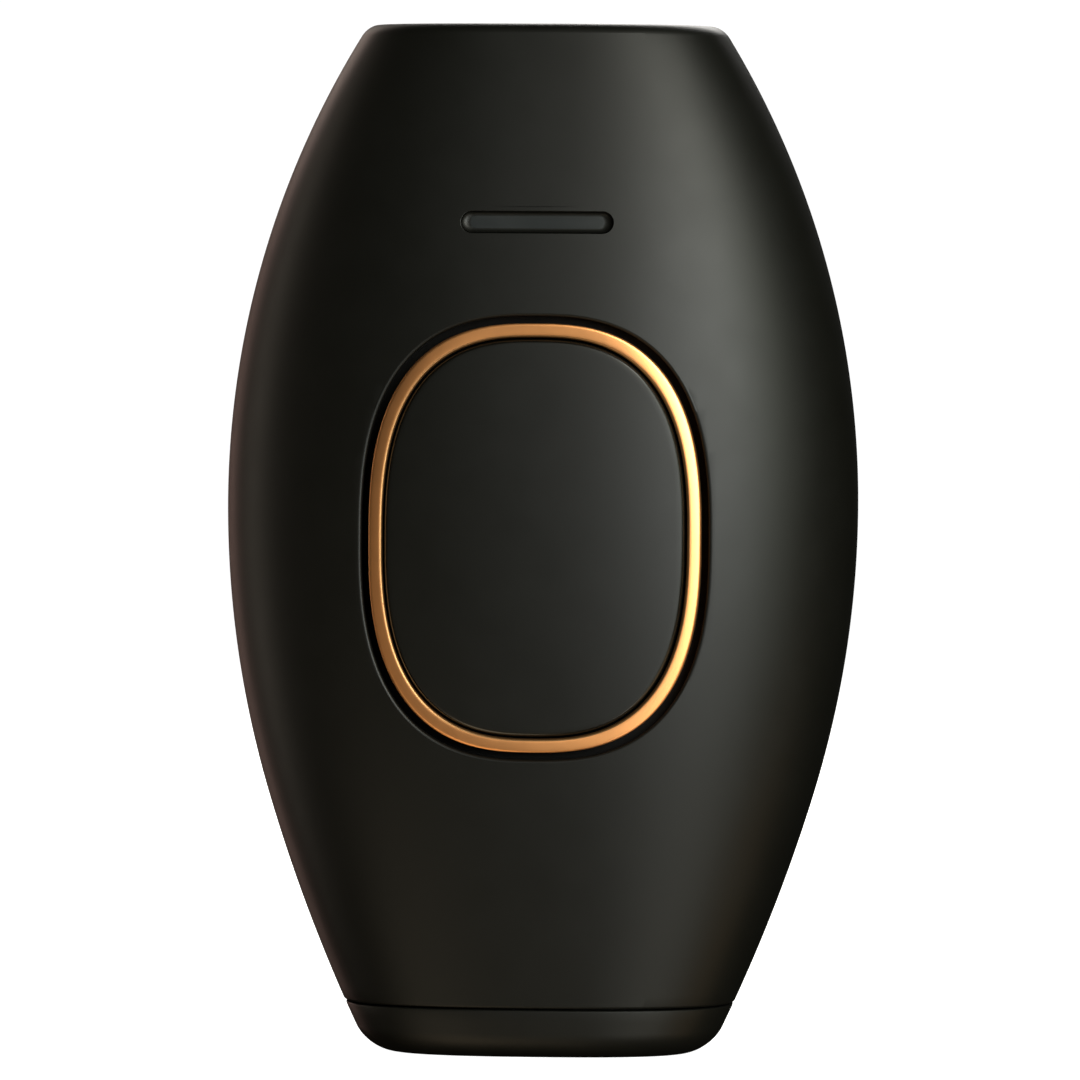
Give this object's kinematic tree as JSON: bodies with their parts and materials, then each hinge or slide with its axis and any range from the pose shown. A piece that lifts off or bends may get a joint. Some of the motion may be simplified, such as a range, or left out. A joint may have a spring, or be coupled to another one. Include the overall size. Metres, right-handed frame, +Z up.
{
  "type": "ipl hair remover",
  "caption": "Hand-held flash hair remover: barrel-shaped casing with a flash window on top, a large ring-framed button and a slot display on the front.",
  "frame": {"origin": "centre of the footprint, on the flat base the handset stands on", "axes": "+Z up the handset from the base to the flash window, -Y out of the front with the button, +X to the right of someone facing the front"},
  "size_m": [0.077, 0.0429, 0.125],
  "materials": {
    "black_shell": "soft-touch matt moulding",
    "black_trim": "dark moulding",
    "copper_gold": "satin copper-gold plating with bright chamfers",
    "filter_glass": "deep amber-red filter glass",
    "smoked_window": "smoked translucent plastic",
    "polished_aluminium": "polished",
    "steel": "plain steel",
    "quartz": "clear quartz tube",
    "ceramic": "off-white ceramic",
    "silicone": "soft red seal",
    "board_green": "green circuit board",
    "capacitor_sleeve": "can in a dark sleeve",
    "ferrite": "ferrite core",
    "white_plastic": "milky plastic",
    "red_lead": "insulated lead",
    "black_lead": "insulated lead"
  },
  "bodies": {
    "casing": {"accent_ring": "copper_gold", "board_connector": "black_trim", "board_screw_1": "steel", "board_screw_2": "steel", "boost_transformer": "ferrite", "bottom_cap": "black_shell", "button_bezel": "black_trim", "button_spring_1": "steel", "button_spring_2": "steel", "button_spring_3": "steel", "button_spring_4": "steel", "cap_screw_left": "steel", "cap_screw_right": "steel", "casing_screw_1": "steel", "casing_screw_2": "steel", "casing_screw_3": "steel", "casing_screw_4": "steel", "control_board": "board_green", "dc_jack_housing": "black_trim", "dc_jack_pin": "steel", "dc_lead_negative": "black_lead", "dc_lead_positive": "red_lead", "display_led_1": "white_plastic", "display_led_2": "white_plastic", "display_led_3": "white_plastic", "display_led_4": "white_plastic", "display_led_5": "white_plastic", "display_window": "smoked_window", "fan_bearing": "steel", "fan_frame": "black_trim", "fan_lead": "black_lead", "fan_screw_1": "steel", "fan_screw_2": "steel", "filter_window": "filter_glass", "flash_capacitor": "capacitor_sleeve", "flash_head_frame": "black_trim", "flash_lamp_tube": "quartz", "front_shell": "black_shell", "heat_sink": "polished_aluminium", "lamp_electrode_left": "steel", "lamp_electrode_right": "steel", "lamp_holder_left": "ceramic", "lamp_holder_right": "ceramic", "lamp_lead_left": "red_lead", "lamp_lead_right": "black_lead", "main_board": "board_green", "rear_shell": "black_shell", "reflector": "polished_aluminium", "skin_contact_left": "steel", "skin_contact_right": "steel", "switching_transistor": "black_trim", "tact_switch_body": "black_trim", "thermal_cutout": "polished_aluminium", "trigger_coil": "ferrite", "window_gasket": "silicone"},
    "button": {"button_cap": "black_shell"},
    "switch_plunger": {"tact_switch_plunger": "white_plastic"},
    "fan": {"fan_rotor": "black_trim", "fan_shaft": "steel"}
  },
  "joints": [
    {"name": "button_press", "type": "slide", "parent": "casing", "child": "button", "axis": [0, 1, 0], "range_m": [0, 0.0008], "stiffness_N_per_m": 1500, "deforming": ["button_spring_1", "button_spring_2", "button_spring_3", "button_spring_4"]},
    {"name": "switch_press", "type": "slide", "parent": "casing", "child": "switch_plunger", "axis": [0, 1, 0], "range_m": [0, 0.0008]},
    {"name": "fan_spin", "type": "hinge", "parent": "casing", "child": "fan", "pos_m": [0, 0.005, 0.084], "axis": [0, 1, 0], "continuous": true}
  ],
  "couplings": [
    {"joint": "switch_press", "follows": "button_press", "ratio": 1}
  ]
}
